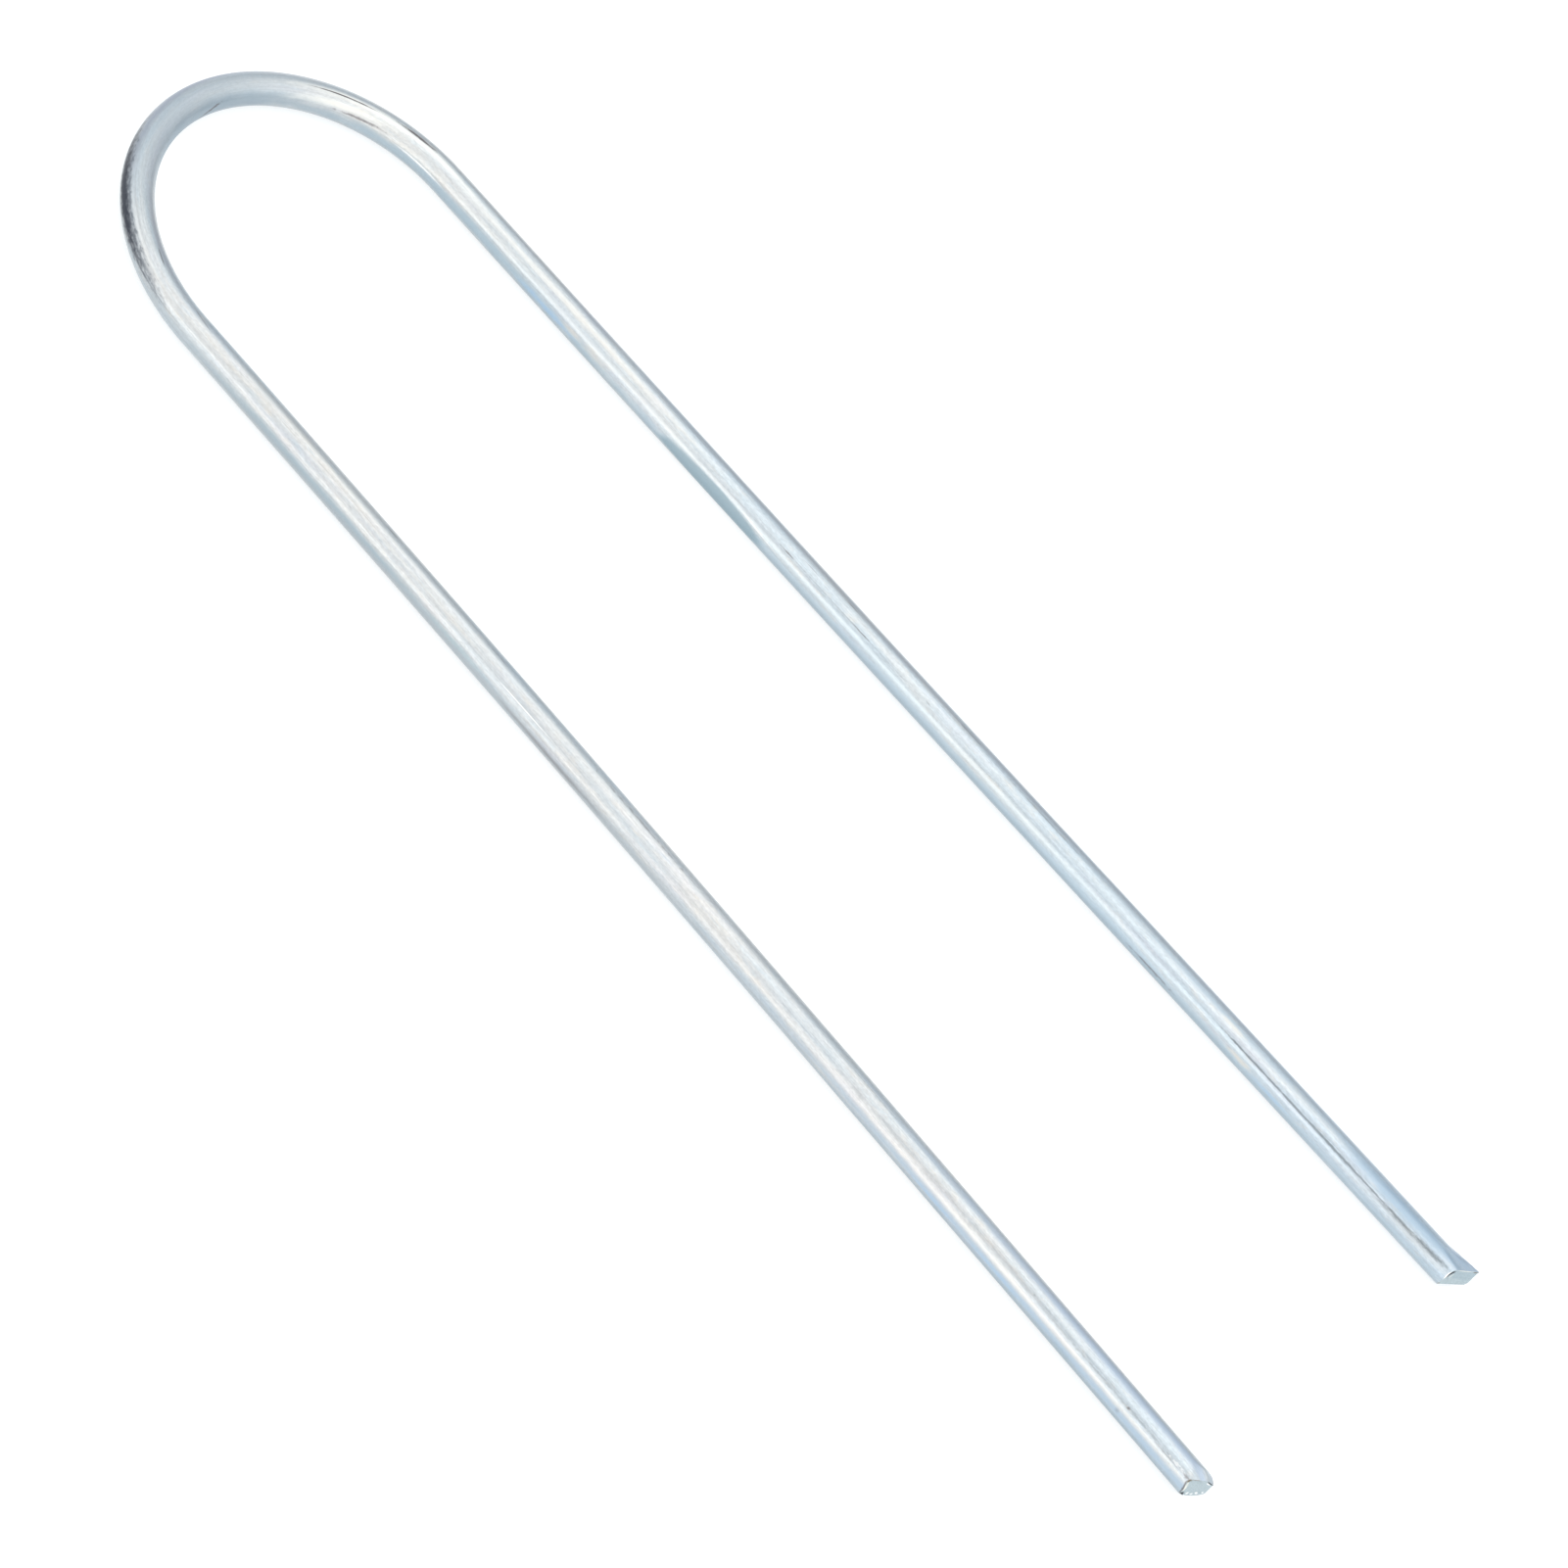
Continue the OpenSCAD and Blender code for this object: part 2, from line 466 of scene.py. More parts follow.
# where each point lies on the straightened wire, for the materials, in metres
placed = staple.data.attributes.new("wirePlace", "FLOAT_VECTOR", "POINT")
placed.data.foreach_set("vector", (flatPlace * mm).astype(np.float32).ravel())
sheared = staple.data.attributes.new("shearedFace", "FLOAT", "POINT")
sheared.data.foreach_set("value", onCap.astype(np.float32))


# Map for textures: the wire's skin is cut into strips of equal length that lie side by side, with the two caps above.
strips = {
    "count": 6,
    "gap": 0.012,
    "seam": -90,
    "height": 0.86,  # of all strips together
    "capFrom": 0.4,  # share of a face's corners that makes it part of a cap
    "capPlace": (0.1, 0.93),  # middle of the left cap
    "capStep": 0.2,  # from the left cap to the right one
    "capRadius": 0.06,
}


def unrollSkin(ob):
    layer = ob.data.uv_layers.new(name="OFBake")
    mesh = ob.data
    loopPoint = np.empty(len(mesh.loops), np.int32)
    mesh.loops.foreach_get("vertex_index", loopPoint)
    faceStart = np.empty(len(mesh.polygons), np.int32)
    faceCount = np.empty(len(mesh.polygons), np.int32)
    mesh.polygons.foreach_get("loop_start", faceStart)
    mesh.polygons.foreach_get("loop_total", faceCount)
    faceOfLoop = np.repeat(np.arange(len(faceStart)), faceCount)
    order = np.concatenate([np.arange(s, s + c) for s, c in zip(faceStart, faceCount)])
    face = np.empty(len(mesh.loops), np.int32)
    face[order] = faceOfLoop
    along, out, up = flatPlace[loopPoint].T
    count = np.bincount(face)
    middle = np.bincount(face, along) / count
    isCap = ((np.bincount(face, onCap[loopPoint].astype(float)) / count) > strips["capFrom"])[face]

    # a face that crosses the seam keeps its corners together
    turned = (np.arctan2(up, out) - math.radians(strips["seam"])) % fullTurn
    first = turned[faceStart][face]
    turned = turned + fullTurn * np.round((first - turned) / fullTurn)
    low = np.full(len(count), np.inf)
    np.minimum.at(low, face, turned)
    high = np.full(len(count), -np.inf)
    np.maximum.at(high, face, turned)
    turned = turned - fullTurn * ((low + high) / 2 > fullTurn)[face]

    stripLength = 2 * halfLength / strips["count"]
    strip = np.clip((middle / stripLength).astype(int), 0, strips["count"] - 1)[face]
    rowHeight = strips["height"] / strips["count"]
    gap = strips["gap"]
    u = gap + (along / stripLength - strip) * (1 - 2 * gap)
    v = strip * rowHeight + gap / 2 + turned / fullTurn * (rowHeight - gap)
    capX, capY = strips["capPlace"]
    rightCap = (middle > halfLength)[face]
    capU = capX + strips["capStep"] * rightCap + out / wire["radius"] * strips["capRadius"]
    capV = capY + up / wire["radius"] * strips["capRadius"]
    uv = np.stack([np.where(isCap, capU, u), np.where(isCap, capV, v)], 1)
    layer.uv.foreach_set("vector", uv.astype(np.float32).ravel())


unrollSkin(staple)
deselectAll()
staple.select_set(True)
bpy.context.view_layer.objects.active = staple
bpy.ops.object.shade_smooth_by_angle(angle=math.radians(wire["hardEdge"]))
print("skin unrolled")


# Shader building. An input of a node is a value, or the socket that feeds it.

def setInputs(tree, node, inputs):
    for key, value in inputs.items():
        if isinstance(value, bpy.types.NodeSocket):
            tree.links.new(value, node.inputs[key])
        else:
            node.inputs[key].default_value = value


def addNode(tree, kind, inputs=None, **settings):
    made = tree.nodes.new(kind)
    for name, value in settings.items():
        setattr(made, name, value)
    setInputs(tree, made, inputs or {})
    return made


def compute(tree, operation, *inputs):
    return addNode(tree, "ShaderNodeMath", dict(enumerate(inputs)), operation=operation).outputs[0]


def computeVector(tree, operation, inputs, output=0):
    return addNode(tree, "ShaderNodeVectorMath", inputs, operation=operation).outputs[output]


def mapRange(tree, value, before, after, **settings):
    # from the range before to the range after, each (low, high)
    inputs = {"Value": value, "From Min": before[0], "From Max": before[1], "To Min": after[0], "To Max": after[1]}
    return addNode(tree, "ShaderNodeMapRange", inputs, **settings).outputs[0]


def mixColor(tree, first, second, factor):
    return addNode(tree, "ShaderNodeMix", {0: factor, 6: first, 7: second}, data_type="RGBA").outputs[2]


def mixValue(tree, first, second, factor):
    return addNode(tree, "ShaderNodeMix", {0: factor, 2: first, 3: second}, data_type="FLOAT").outputs[0]


def newGroup(name, vectors, values, output):
    # a group with vector inputs, number inputs with their first values, and one number that it puts out
    group = bpy.data.node_groups.new(name, "ShaderNodeTree")
    for label in vectors:
        group.interface.new_socket(name=label, in_out="INPUT", socket_type="NodeSocketVector")
    for label, value in values.items():
        socket = group.interface.new_socket(name=label, in_out="INPUT", socket_type="NodeSocketFloat")
        socket.default_value = value
    group.interface.new_socket(name=output, in_out="OUTPUT", socket_type="NodeSocketFloat")
    return group, group.nodes.new("NodeGroupInput").outputs, group.nodes.new("NodeGroupOutput").inputs


def setRamp(ramp, stops):
    for spot, _ in stops[1:-1]:
        ramp.elements.new(spot)
    for element, (spot, color) in zip(ramp.elements, stops):
        element.position = spot
        element.color = (*color, 1)


def buildGrainGroup():
    # noise stretched along the wire
    group, given, result = newGroup(
        "grainAlongWire", ["Place"], {"Long": 0.01, "Wide": 0.001, "Low": 0.3, "High": 0.7, "Shift": 0.0}, "Mask")
    parts = addNode(group, "ShaderNodeSeparateXYZ", {0: given["Place"]}).outputs
    along = compute(group, "DIVIDE", parts[0], given["Long"])
    shifted = compute(group, "ADD", along, given["Shift"])
    out = compute(group, "DIVIDE", parts[1], given["Wide"])
    up = compute(group, "DIVIDE", parts[2], given["Wide"])
    joined = addNode(group, "ShaderNodeCombineXYZ", {0: shifted, 1: out, 2: up}).outputs[0]
    cloud = addNode(group, "ShaderNodeTexNoise", {"Scale": 1.0, "Detail": 3.0, "Roughness": 0.55, "Vector": joined})
    mask = mapRange(group, cloud.outputs["Fac"], (given["Low"], given["High"]), (0.0, 1.0))
    group.links.new(mask, result["Mask"])
    return group


def buildMarkGroup():
    # oval mark at a place along and round the wire, with an edge that a cloud makes ragged
    group, given, result = newGroup("markOnWire", [], {
        "Along": 0.0, "Around": 0.0, "Cloud": 0.5, "At": 0.1, "Round": 0.0, "Slant": 0.0, "Long": 0.01, "Wide": 0.3,
        "Soft": 0.6, "Ragged": 0.3, "Strength": 1.0}, "Mask")
    fromMiddle = compute(group, "SUBTRACT", given["Along"], given["At"])
    slanted = compute(group, "MULTIPLY_ADD", fromMiddle, given["Slant"], given["Round"])
    turn = compute(group, "SUBTRACT", given["Around"], slanted)
    turn = compute(group, "WRAP", turn, math.pi, -math.pi)
    aroundShare = compute(group, "DIVIDE", turn, given["Wide"])
    alongShare = compute(group, "DIVIDE", fromMiddle, given["Long"])
    aroundSquare = compute(group, "MULTIPLY", aroundShare, aroundShare)
    away = compute(group, "MULTIPLY_ADD", alongShare, alongShare, aroundSquare)
    away = compute(group, "SQRT", away)
    centred = compute(group, "SUBTRACT", given["Cloud"], 0.5)
    edge = compute(group, "MULTIPLY_ADD", centred, given["Ragged"], away)
    inner = compute(group, "SUBTRACT", 1.0, given["Soft"])
    mask = mapRange(group, edge, (inner, 1.0), (1.0, 0.0), interpolation_type="SMOOTHSTEP")
    group.links.new(compute(group, "MULTIPLY", mask, given["Strength"]), result["Mask"])
    return group


grainGroup = buildGrainGroup()
markGroup = buildMarkGroup()
print("shader groups built")


# Looks of the plate, with linear colours.
plate = {
    # the passivated film along the wire, from the left tip (0) to the right tip (1)
    "film": [
        (0.0, (0.57, 0.605, 0.63)), (0.10, (0.59, 0.60, 0.605)), (0.40, (0.59, 0.605, 0.61)),
        (0.55, (0.60, 0.61, 0.61)), (0.66, (0.59, 0.62, 0.635)), (0.85, (0.55, 0.62, 0.67)),
        (1.0, (0.515, 0.60, 0.68))],
    # clouds in the film: (grain, colour, strength)
    "filmClouds": [
        ("blueCloud", (0.50, 0.58, 0.64), 0.7), ("creamCloud", (0.66, 0.625, 0.575), 0.55),
        ("violetCloud", (0.56, 0.565, 0.63), 0.5), ("creamSpeck", (0.66, 0.625, 0.575), 0.5),
        ("blueSpeck", (0.50, 0.58, 0.64), 0.5)],
    # Noise along the wire: (length, width, low, high, shift). Length and width are in millimetres, noise of low turns
    # black and noise of high turns white, and the shift picks another stretch of it.
    "grains": {
        "blueCloud": (34, 2.2, 0.40, 0.66, 3.1), "creamCloud": (22, 1.5, 0.50, 0.78, 11.7),
        "violetCloud": (13, 1.2, 0.52, 0.80, 27.3), "creamSpeck": (2.6, 0.7, 0.56, 0.76, 51.0),
        "blueSpeck": (3.4, 0.6, 0.54, 0.76, 73.0),
        "streak": (30, 0.42, 0.30, 0.70, 5.5), "fine": (2.2, 0.12, 0.28, 0.72, 8.8),
        "dots": (0.5, 0.22, 0.30, 0.70, 15.0), "hairs": (45, 0.15, 0.34, 0.66, 33.0),
        "torn": (0.5, 0.16, 0.25, 0.75, 41.0), "peel": (0.28, 0.22, 0.2, 0.8, 60.0),
        # these make the edges of marks ragged
        "fineEdge": (0.7, 0.27, 0, 1, 90.0), "middleEdge": (1.5, 0.6, 0, 1, 120.0),
        "wideEdge": (3.4, 1.4, 0, 1, 150.0)},
    # darkest and brightest that a grain makes the colour
    "streakTone": (0.90, 1.06),
    "hairsTone": (0.955, 1.03),
    "fineTone": (0.91, 1.07),
    "dotsTone": (0.90, 1.08),
    # share of a grain in the relief
    "streakRelief": 0.6,
    "fineRelief": 0.4,
    "peelRelief": 1.0,
    "dotsRelief": 0.35,
    "bumpStrength": 0.6,
    "bumpHeight": 0.006,
    "crown": (0.475, 0.535, 0.585),
    "crownShare": 0.5,
    "crownReach": (5, 26),  # the bend's looks fade out between these distances from the crown
    "roughness": (0.27, 0.35),
    "bendRoughness": 0.40,
    "tornLow": (0.40, 0.47, 0.50),
    "tornHigh": (0.56, 0.65, 0.69),
    "tornRoughness": 0.48,
}

# Stains, rubbed places, painted highlights and painted shade. A mark is (length along the wire from the left tip, place
# round it, turn for each mm along, half its length, half its width, softness, raggedness, cloud that makes its edge
# ragged, strength), in mm and degrees.
# Wide tints of the film, and some painted highlights and painted shade: (mark, colour, roughness).
tints = [
    ((14.0, 2, 0, 84.0, 26, 0.9, 0.5, "wide", 0.85), (0.43, 0.54, 0.65), 0.30),
    ((10.0, 92, 0, 62.0, 25, 0.9, 0.5, "wide", 0.7), (0.46, 0.54, 0.66), 0.30),
    ((16.0, -30, 0, 90.0, 30, 0.8, 0.5, "wide", 0.7), (0.33, 0.42, 0.49), 0.32),
    ((146.0, -3, 0, 38.0, 31, 0.8, 0.5, "wide", 0.85), (0.34, 0.43, 0.485), 0.32),
    ((110.0, 102, 0, 92.0, 18, 0.9, 0.6, "middle", 0.2), (0.37, 0.40, 0.44), 0.33),
    ((340.0, 187, 0, 125.0, 29, 0.8, 0.6, "wide", 0.75), (0.46, 0.565, 0.645), 0.30),
    ((246.0, 182, 0, 40.0, 31, 0.8, 0.6, "wide", 0.8), (0.37, 0.465, 0.53), 0.33),
    ((322.0, 76, 0, 112.0, 24, 0.8, 0.6, "middle", 0.5), (0.38, 0.39, 0.43), 0.32),
    ((118.0, -14, 0, 78.0, 28, 0.8, 0.6, "wide", 0.75), (0.42, 0.46, 0.49), 0.32),
    ((330.0, 204, 0, 140.0, 30, 0.8, 0.6, "wide", 0.75), (0.36, 0.44, 0.50), 0.34),
    ((264.0, 112, 0, 36.0, 17, 0.9, 0.6, "wide", 0.5), (0.70, 0.69, 0.66), 0.28),
    ((28.0, 22, 0, 44.0, 13, 0.8, 0.5, "middle", 0.45), (0.76, 0.73, 0.69), 0.27),
    # painted highlight: a bright cream tint where the highlight peaks on the bend's right part
    ((235.0, 98, 0, 20.0, 18, 0.8, 0.5, "middle", 0.85), (0.87, 0.86, 0.82), 0.26),
    # painted shade: the inside of the crown is darkened where it reflects shadowed floor
    ((206.9, 168, 0, 29.0, 52, 0.8, 0.4, "wide", 0.8), (0.30, 0.375, 0.435), 0.42),
    ((206.9, 40, 0, 24.0, 27, 0.9, 0.4, "wide", 0.85), (0.335, 0.37, 0.445), 0.42),
    ((183.0, 110, 1.2, 14.0, 20, 0.9, 0.5, "middle", 0.5), (0.35, 0.37, 0.42), 0.36),
    ((374.0, 101, 0, 34.0, 17, 0.9, 0.5, "wide", 0.6), (0.42, 0.50, 0.57), 0.32),
    ((405.0, 106, 0, 16.0, 31, 0.7, 0.4, "wide", 0.85), (0.31, 0.41, 0.51), 0.32),
    ((404.0, 151, 0, 12.0, 9, 0.9, 0.6, "fine", 0.65), (0.38, 0.42, 0.455), 0.34),
    ((272.0, 146, 0, 38.0, 14, 0.9, 0.5, "wide", 0.35), (0.72, 0.74, 0.74), 0.28),
    # painted highlight: a pale strip that brightens the highlight along the right leg
    ((326.0, 156, 0, 86.0, 14, 0.9, 0.5, "wide", 0.45), (0.66, 0.74, 0.785), 0.38),
    ((184.0, 48, -0.2, 14.0, 8, 0.9, 0.5, "middle", 0.5), (0.72, 0.74, 0.74), 0.30),
    ((187.0, 58, 0.1, 14.0, 5, 0.9, 0.6, "middle", 0.45), (0.42, 0.44, 0.46), 0.36),
    ((124.0, 8, 0, 7.0, 14, 0.9, 0.9, "middle", 0.4), (0.40, 0.51, 0.54), 0.32),
    ((130.0, 81, 0, 84.0, 10, 0.9, 0.5, "wide", 0.35), (0.72, 0.72, 0.71), 0.28),
    # painted highlight: the pointed cream front where the highlight starts on the bend's right part
    ((227.0, 136, -1.5, 9.0, 20, 0.9, 0.7, "middle", 0.55), (0.80, 0.80, 0.76), 0.28),
    ((32.0, 0, 0, 5.0, 11, 0.9, 1.0, "middle", 0.5), (0.40, 0.56, 0.74), 0.30),
    ((43.0, -1, 0, 5.0, 11, 0.9, 1.0, "middle", 0.5), (0.40, 0.56, 0.74), 0.30),
    ((21.0, -6, 0, 5.0, 9, 0.9, 1.4, "fine", 0.4), (0.34, 0.42, 0.50), 0.32),
    ((384.5, 180, 0, 4.0, 11, 0.9, 0.8, "middle", 0.5), (0.38, 0.54, 0.72), 0.30),
    ((262.0, 183, 0, 6.5, 18, 0.9, 0.8, "middle", 0.7), (0.36, 0.51, 0.68), 0.32),
    ((412.8, 60, 0, 3.4, 36, 0.6, 0.4, "middle", 0.65), (0.42, 0.52, 0.64), 0.34),
    ((290.4, 188, 0, 9.8, 38, 0.25, 0.25, "wide", 0.8), (0.30, 0.40, 0.455), 0.5),  # dull dent, darkened with painted shade of the darker floor it reflects
    # painted dark reflection at the bend's left end, on a burnished patch
    ((189.5, 22, 0, 19.0, 42, 0.9, 0.8, "middle", 0.6), (0.26, 0.285, 0.32), 0.36),
    ((188.8, 14, 0, 15.0, 33, 0.8, 0.9, "fine", 1.0), (0.05, 0.056, 0.072), 0.36),  # painted dark reflection over where the bending tool rubbed
]
# small marks, by what they have become; one group also paints a dark reflection and one paints highlights
smallMarks = {
    # painted dark reflection at the bend's left end, speckled like a rubbed patch
    "rubbed": [
        (187.5, 38, 0, 9.5, 7, 0.9, 3.6, "fine", 0.6), (179.0, 26, 0, 7.0, 12, 0.9, 2.0, "fine", 0.5),
        (179.8, 8, -1.25, 6.4, 4, 0.8, 1.2, "middle", 0.6), (176.0, 14, -1.25, 6.0, 3, 0.8, 1.2, "middle", 0.4)],
    "tarnished": [
        (229.0, 128, -3, 4.0, 10, 0.9, 0.9, "middle", 0.35), (379.0, 172, 0, 3.0, 14, 0.9, 0.8, "middle", 0.65),
        (376.0, 110, 0, 3.0, 13, 0.9, 0.7, "middle", 0.5), (266.4, 168, 0, 2.6, 14, 0.9, 0.6, "middle", 0.45),
        (270.0, 166, 0, 3.0, 22, 0.9, 0.6, "middle", 0.35)],
    "scored": [
        (380.5, 140.6, 0, 7.5, 5, 0.6, 1.1, "fine", 0.8), (394.0, 141.0, 0, 9.0, 7.5, 0.8, 1.1, "fine", 0.8),
        (393.0, 140.8, 0, 19.0, 5.5, 0.6, 1.0, "fine", 0.75), (404.6, 141.2, -0.1, 6.8, 9, 0.9, 1.0, "fine", 0.85),
        (409.6, 138.2, -0.75, 5.6, 12, 0.9, 1.1, "fine", 0.85), (27.3, 49, 0, 0.3, 6, 0.8, 0.9, "fine", 0.4),
        (9.0, 43, 0, 13.0, 6, 0.9, 3.0, "fine", 0.34), (30.0, 46, 0, 56.0, 9, 0.95, 2.6, "middle", 0.2),
        (311.0, 131.5, 0, 16.0, 3, 0.9, 2.0, "fine", 0.4)],
    "scratched": [
        (208.5, 165, -9.3, 2.3, 7, 0.7, 1.5, "fine", 0.85), (179.6, 93, 2.5, 1.7, 4, 0.7, 0.9, "fine", 0.75),
        (170.6, 93, 4, 2.6, 4, 0.8, 1.2, "fine", 0.45), (230.7, 150, -0.8, 4.6, 6, 0.8, 1.4, "fine", 0.75),
        (311.5, 88.5, 1, 1.2, 3, 0.8, 1.0, "fine", 0.5), (331.0, 85, 0, 2.6, 4, 0.8, 1.4, "fine", 0.45),
        (305.0, 106, 0, 1.8, 2, 0.8, 1.0, "fine", 0.4),
        (325.3, 125, 3, 0.8, 3, 0.8, 1.0, "fine", 0.4), (344.0, 95, 0, 9.0, 5, 0.9, 2.0, "fine", 0.3),
        (138.2, 103, 0, 1.4, 3, 0.8, 0.8, "fine", 0.6), (120.5, 96.5, 0, 2.4, 4, 0.9, 2.4, "fine", 0.4),
        (227.8, 97, 0, 5.8, 3.8, 0.6, 0.5, "fine", 1.0), (237.6, 89, 0, 3.8, 8, 0.7, 1.0, "fine", 0.95),
        (364.6, 187, 0, 4.6, 7, 0.8, 1.3, "fine", 0.65), (107.0, -8, 0, 12.0, 14, 0.9, 0.8, "middle", 0.45),
        (95.0, 89, 0, 10.5, 5, 0.9, 3.0, "fine", 0.42), (302.0, 131, 0, 1.5, 3.5, 0.8, 1.0, "fine", 0.6),
        (314.4, 131, 0, 1.6, 3.5, 0.8, 1.0, "fine", 0.65), (11.9, 6, 0, 0.5, 12, 0.9, 0.8, "middle", 0.3),
        (11.2, 42, 0, 0.35, 7, 0.8, 0.9, "fine", 0.75), (3.8, 36, 0, 3.6, 2.4, 0.8, 1.2, "fine", 0.5),
        (0.3, 40, 0, 0.8, 9, 0.8, 1.6, "fine", 0.55), (0.0, 6, 0, 0.2, 50, 0.6, 0.8, "fine", 0.8)],
    # painted highlights: white streaks along highlights and bright rim edges, partly bare metal
    "bare": [
        (298.0, 157, 2, 5.0, 4, 0.9, 0.6, "middle", 0.6), (239.7, 165, 0.6, 5.6, 5.5, 0.8, 0.5, "middle", 1.0),
        (113.5, 39.5, -0.2, 6.5, 2.6, 0.8, 0.4, "middle", 0.95), (2.0, 43, 0, 1.5, 5, 0.9, 5.2, "fine", 0.55),
        (413.7, 148, 0, 0.13, 26, 0.6, 0.5, "fine", 0.97)],
}
# colour and roughness of each group of small marks, some of them painted highlights and a painted dark reflection
markLooks = {  # colour and roughness
    "rubbed": ((0.15, 0.165, 0.19), 0.36),
    "tarnished": ((0.71, 0.66, 0.585), 0.32),
    "scored": ((0.17, 0.195, 0.215), 0.45),
    "scratched": ((0.17, 0.155, 0.16), 0.47),
    "bare": ((0.89, 0.90, 0.90), 0.30),
}
# Burr marks, painted slit shadows and painted glints on the two sheared faces, where the first value is the distance
# from the middle of the face, and for the right tip the length of the wire more.
rightFace = 2 * halfLength
faceMarks = {
    "dull": [(rightFace + 0.9, 70, 0, 2.0, 120, 0.5, 0.5, "middle", 0.5)],
    "pale": [
        (1.52, -4, 0, 0.30, 44, 0.6, 1.5, "fine", 0.9), (rightFace + 1.05, 146, 0, 0.16, 30, 0.8, 1.4, "fine", 0.6),
        (rightFace + 1.86, 80, 0, 0.14, 36, 0.6, 0.6, "fine", 0.85)],
    "brown": [
        (1.87, -6, 0, 0.17, 58, 0.5, 0.9, "fine", 0.85), (1.78, 38, 0, 0.4, 13, 0.6, 0.9, "fine", 0.95),
        (1.88, 64, 0, 0.14, 24, 0.6, 1.0, "fine", 0.8), (rightFace + 1.86, 44, 0, 0.30, 7, 0.6, 0.6, "fine", 0.85),
        (rightFace + 1.84, 216, 0, 0.20, 12, 0.7, 1.5, "fine", 0.6)],
    # painted shadow in the slits under the burr lips, and a dark corner spot
    "black": [
        (1.86, -61, 0, 0.36, 9, 0.5, 0.5, "fine", 0.9), (1.88, 142, 0, 0.17, 26, 0.4, 0.6, "fine", 0.97),
        (rightFace + 1.62, 141, 0, 0.22, 30, 0.4, 0.6, "fine", 1.0)],
    # painted glints: white specks where burrs catch the light, and a white edge beside a slit
    "white": [
        (1.55, -78, 0, 0.26, 7, 0.5, 1.2, "fine", 0.95), (1.62, -95, 0, 0.24, 6, 0.5, 1.2, "fine", 0.95),
        (1.50, -112, 0, 0.28, 8, 0.5, 1.2, "fine", 0.9), (1.62, -134, 0, 0.2, 5, 0.5, 1.2, "fine", 0.9),
        (1.56, 144, 0, 0.18, 22, 0.6, 0.9, "fine", 0.9)],
}
faceColors = {
    "dull": (0.36, 0.46, 0.52), "pale": (0.88, 0.86, 0.78), "brown": (0.22, 0.18, 0.13), "black": (0.03, 0.03, 0.035),
    "white": (0.97, 0.97, 0.97),
}


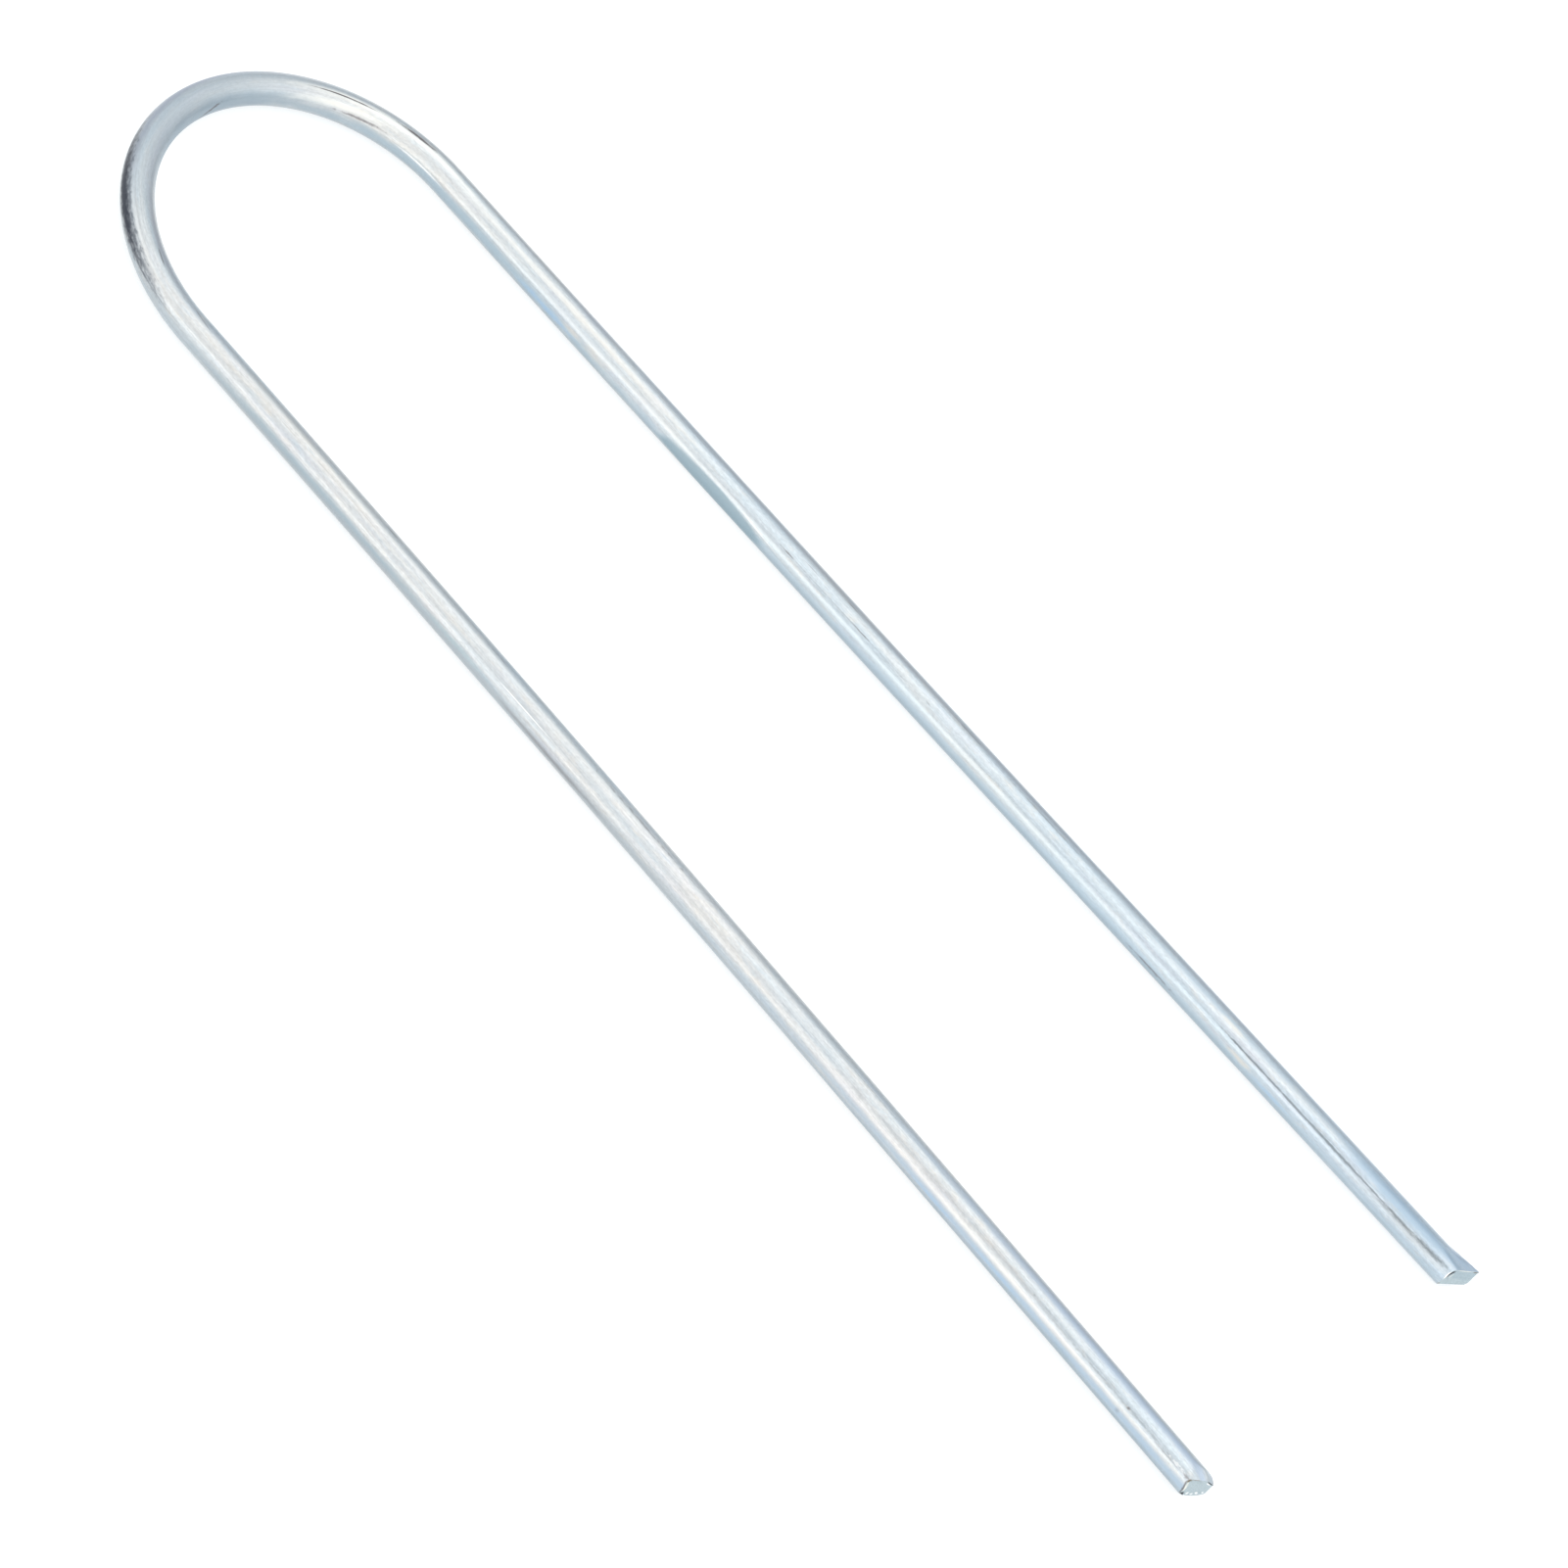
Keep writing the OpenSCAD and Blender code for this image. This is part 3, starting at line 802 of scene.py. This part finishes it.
def paintPlate():
    material = bpy.data.materials.new("zincPlate")
    material.use_nodes = True
    tree = material.node_tree
    tree.nodes.clear()
    place = addNode(tree, "ShaderNodeAttribute", attribute_name="wirePlace").outputs["Vector"]
    face = addNode(tree, "ShaderNodeAttribute", attribute_name="shearedFace").outputs["Fac"]

    def grain(name):
        long, wide, low, high, shift = plate["grains"][name]
        return addNode(tree, "ShaderNodeGroup", {
            "Long": long * mm, "Wide": wide * mm, "Low": low, "High": high, "Shift": shift, "Place": place},
            node_tree=grainGroup).outputs["Mask"]

    # the passivated film drifts along the wire, with blue, cream and violet clouds
    along, outward, upward = addNode(tree, "ShaderNodeSeparateXYZ", {0: place}).outputs
    share = mapRange(tree, along, (0.0, 2 * halfLength * mm), (0.0, 1.0))
    film = addNode(tree, "ShaderNodeValToRGB", {"Fac": share})
    setRamp(film.color_ramp, plate["film"])
    color = film.outputs["Color"]
    for name, tint, strength in plate["filmClouds"]:
        amount = compute(tree, "MULTIPLY", grain(name), strength)
        color = mixColor(tree, color, (*tint, 1), amount)

    # lengthwise streaks that the drawing die left, and fine grain
    streak, fine, dots, hairs = [grain(name) for name in ("streak", "fine", "dots", "hairs")]
    tone = mapRange(tree, streak, (0.0, 1.0), plate["streakTone"])
    for mask, tones in ((hairs, plate["hairsTone"]), (fine, plate["fineTone"]), (dots, plate["dotsTone"])):
        factor = mapRange(tree, mask, (0.0, 1.0), tones)
        tone = compute(tree, "MULTIPLY", tone, factor)
    color = computeVector(tree, "SCALE", {0: color, 3: tone})

    # the bend is stretched outside and squeezed inside, so it is duller there
    crownAway = compute(tree, "ABSOLUTE", compute(tree, "SUBTRACT", along, halfLength * mm))
    reach = [distance * mm for distance in plate["crownReach"]]
    bendMask = mapRange(tree, crownAway, reach, (1.0, 0.0), interpolation_type="SMOOTHSTEP")
    bendTone = compute(tree, "MULTIPLY", bendMask, plate["crownShare"])
    color = mixColor(tree, color, (*plate["crown"], 1), bendTone)
    roughness = mapRange(tree, streak, (0.0, 1.0), plate["roughness"])
    roughness = mixValue(tree, roughness, plate["bendRoughness"], bendMask)

    clouds = {name: grain(name + "Edge") for name in ("fine", "middle", "wide")}
    around = compute(tree, "ARCTAN2", upward, outward)

    def markMask(mark, along):
        at, turn, slant, long, wide, soft, ragged, edge, strength = mark
        return addNode(tree, "ShaderNodeGroup", {
            "At": at * mm, "Round": math.radians(turn), "Slant": math.radians(slant) / mm, "Long": long * mm,
            "Wide": math.radians(wide), "Soft": soft, "Ragged": ragged, "Strength": strength,
            "Along": along, "Around": around, "Cloud": clouds[edge]}, node_tree=markGroup).outputs["Mask"]

    def strongestOf(marks, along):
        strongest = markMask(marks[0], along)
        for mark in marks[1:]:
            strongest = compute(tree, "MAXIMUM", strongest, markMask(mark, along))
        return strongest

    # tints of the film, some of them painted highlights and painted shade
    for mark, tint, rough in tints:
        mask = markMask(mark, along)
        color = mixColor(tree, color, (*tint, 1), mask)
        roughness = mixValue(tree, roughness, rough, mask)
    # small marks; some paint a dark reflection at the bend and some paint highlights
    for name, marks in smallMarks.items():
        mask = strongestOf(marks, along)
        markColor, rough = markLooks[name]
        color = mixColor(tree, color, (*markColor, 1), mask)
        roughness = mixValue(tree, roughness, rough, mask)

    # the sheared faces are matte and torn, with burrs and slits along their rims, painted shadow in the slits and
    # painted glints
    torn = mixColor(tree, (*plate["tornLow"], 1), (*plate["tornHigh"], 1), grain("torn"))
    flat = addNode(tree, "ShaderNodeCombineXYZ", {0: outward, 1: upward}).outputs[0]
    fromMiddle = computeVector(tree, "LENGTH", {0: flat}, "Value")
    onFace = compute(tree, "ADD", along, fromMiddle)
    for name, marks in faceMarks.items():
        torn = mixColor(tree, torn, (*faceColors[name], 1), strongestOf(marks, onFace))
    color = mixColor(tree, color, torn, face)
    roughness = mixValue(tree, roughness, plate["tornRoughness"], face)

    # relief: drawing lines along the wire, and the stretched skin of the bend
    relief = compute(tree, "MULTIPLY", streak, plate["streakRelief"])
    relief = compute(tree, "MULTIPLY_ADD", fine, plate["fineRelief"], relief)
    peel = compute(tree, "MULTIPLY", grain("peel"), bendMask)
    relief = compute(tree, "MULTIPLY_ADD", peel, plate["peelRelief"], relief)
    relief = compute(tree, "MULTIPLY_ADD", dots, plate["dotsRelief"], relief)
    bump = addNode(tree, "ShaderNodeBump", {
        "Strength": plate["bumpStrength"], "Distance": plate["bumpHeight"] * mm, "Height": relief})

    shader = addNode(tree, "ShaderNodeBsdfPrincipled", {
        "Metallic": 1.0, "IOR": 1.5, "Base Color": color, "Roughness": roughness, "Normal": bump.outputs["Normal"]})
    addNode(tree, "ShaderNodeOutputMaterial", {"Surface": shader.outputs["BSDF"]})
    return material


staple.data.materials.clear()
staple.data.materials.append(paintPlate())
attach(staple, "root")
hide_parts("staple")
print("plate painted")


# plain floor and soft studio light
studio = {
    "floorSize": 8.0,
    "floorColor": (0.36, 0.365, 0.37),
    "floorDark": 0.995,  # share of the colour in its faintly darker patches
    "patchScale": 2.0,
    "patchDetail": 2.0,
    "floorRoughness": 0.9,
    "floorShine": 0.2,
    "floorGlow": 0.715,  # the floor is a light table, so that shadows stay faint
    "glowColor": (0.975, 0.995, 1.0),
    "brightSide": (-0.72, -0.06, 0.69),  # the studio's walls and ceiling are brightest round this direction
    # brightness of the room from the far side to the bright one: (place from 0 to 1, colour)
    "room": [
        (0.0, (0.66, 0.71, 0.75)), (0.30, (0.73, 0.78, 0.82)), (0.46, (0.89, 0.95, 0.99)), (0.60, (1.14, 1.20, 1.23)),
        (0.74, (1.42, 1.42, 1.41)), (0.90, (1.46, 1.45, 1.42)), (1.0, (1.27, 1.28, 1.28))],
}
# each softbox is (name, place, aimed at, width, height, brightness, colour)
softboxes = [
    ("overheadSoftbox", (-0.12, -0.12, 1.0), (0, 0, 0), 0.5, 1.6, 0.20, (1.0, 0.97, 0.92)),
    ("sideSoftbox", (-1.3, 0.12, 0.30), (0, 0, 0.05), 1.8, 0.56, 0.32, (1.0, 0.97, 0.92)),
]


def layFloor():
    deselectAll()
    bpy.ops.mesh.primitive_plane_add(size=studio["floorSize"], location=(0, 0, 0))
    floor = bpy.context.object
    floor.name = "floor"
    material = bpy.data.materials.new("paleFloor")
    material.use_nodes = True
    tree = material.node_tree
    where = addNode(tree, "ShaderNodeTexCoord").outputs["Object"]
    patches = addNode(tree, "ShaderNodeTexNoise", {
        "Scale": studio["patchScale"], "Detail": studio["patchDetail"], "Vector": where}).outputs["Fac"]
    dark = tuple(studio["floorDark"] * c for c in studio["floorColor"])
    setInputs(tree, tree.nodes["Principled BSDF"], {
        "Base Color": mixColor(tree, (*dark, 1), (*studio["floorColor"], 1), patches),
        "Roughness": studio["floorRoughness"], "Specular IOR Level": studio["floorShine"],
        "Emission Color": (*studio["glowColor"], 1), "Emission Strength": studio["floorGlow"]})
    floor.data.materials.append(material)


def hangSoftbox(name, place, aim, width, height, brightness, color):
    data = bpy.data.lights.new(name, "AREA")
    data.shape = "RECTANGLE"
    data.size, data.size_y = width, height
    data.energy = brightness * math.pi * width * height
    data.color = color
    light = bpy.data.objects.new(name, data)
    light.location = place
    light.rotation_euler = (Vector(aim) - Vector(place)).to_track_quat("-Z", "Y").to_euler()
    light.visible_camera = False
    bpy.context.scene.collection.objects.link(light)


def lightRoom():
    world = bpy.data.worlds.new("studio")
    world.use_nodes = True
    tree = world.node_tree
    direction = addNode(tree, "ShaderNodeTexCoord").outputs["Generated"]
    brightSide = Vector(studio["brightSide"]).normalized()
    toward = computeVector(tree, "DOT_PRODUCT", {1: brightSide, 0: direction}, "Value")
    share = mapRange(tree, toward, (-1.0, 1.0), (0.0, 1.0))
    ramp = addNode(tree, "ShaderNodeValToRGB", {"Fac": share})
    ramp.color_ramp.interpolation = "EASE"
    setRamp(ramp.color_ramp, studio["room"])
    setInputs(tree, tree.nodes["Background"], {"Color": ramp.outputs["Color"], "Strength": 1.0})
    bpy.context.scene.world = world


layFloor()
for softbox in softboxes:
    hangSoftbox(*softbox)
lightRoom()
bpy.context.scene.view_settings.view_transform = "Standard"
print("studio lit")
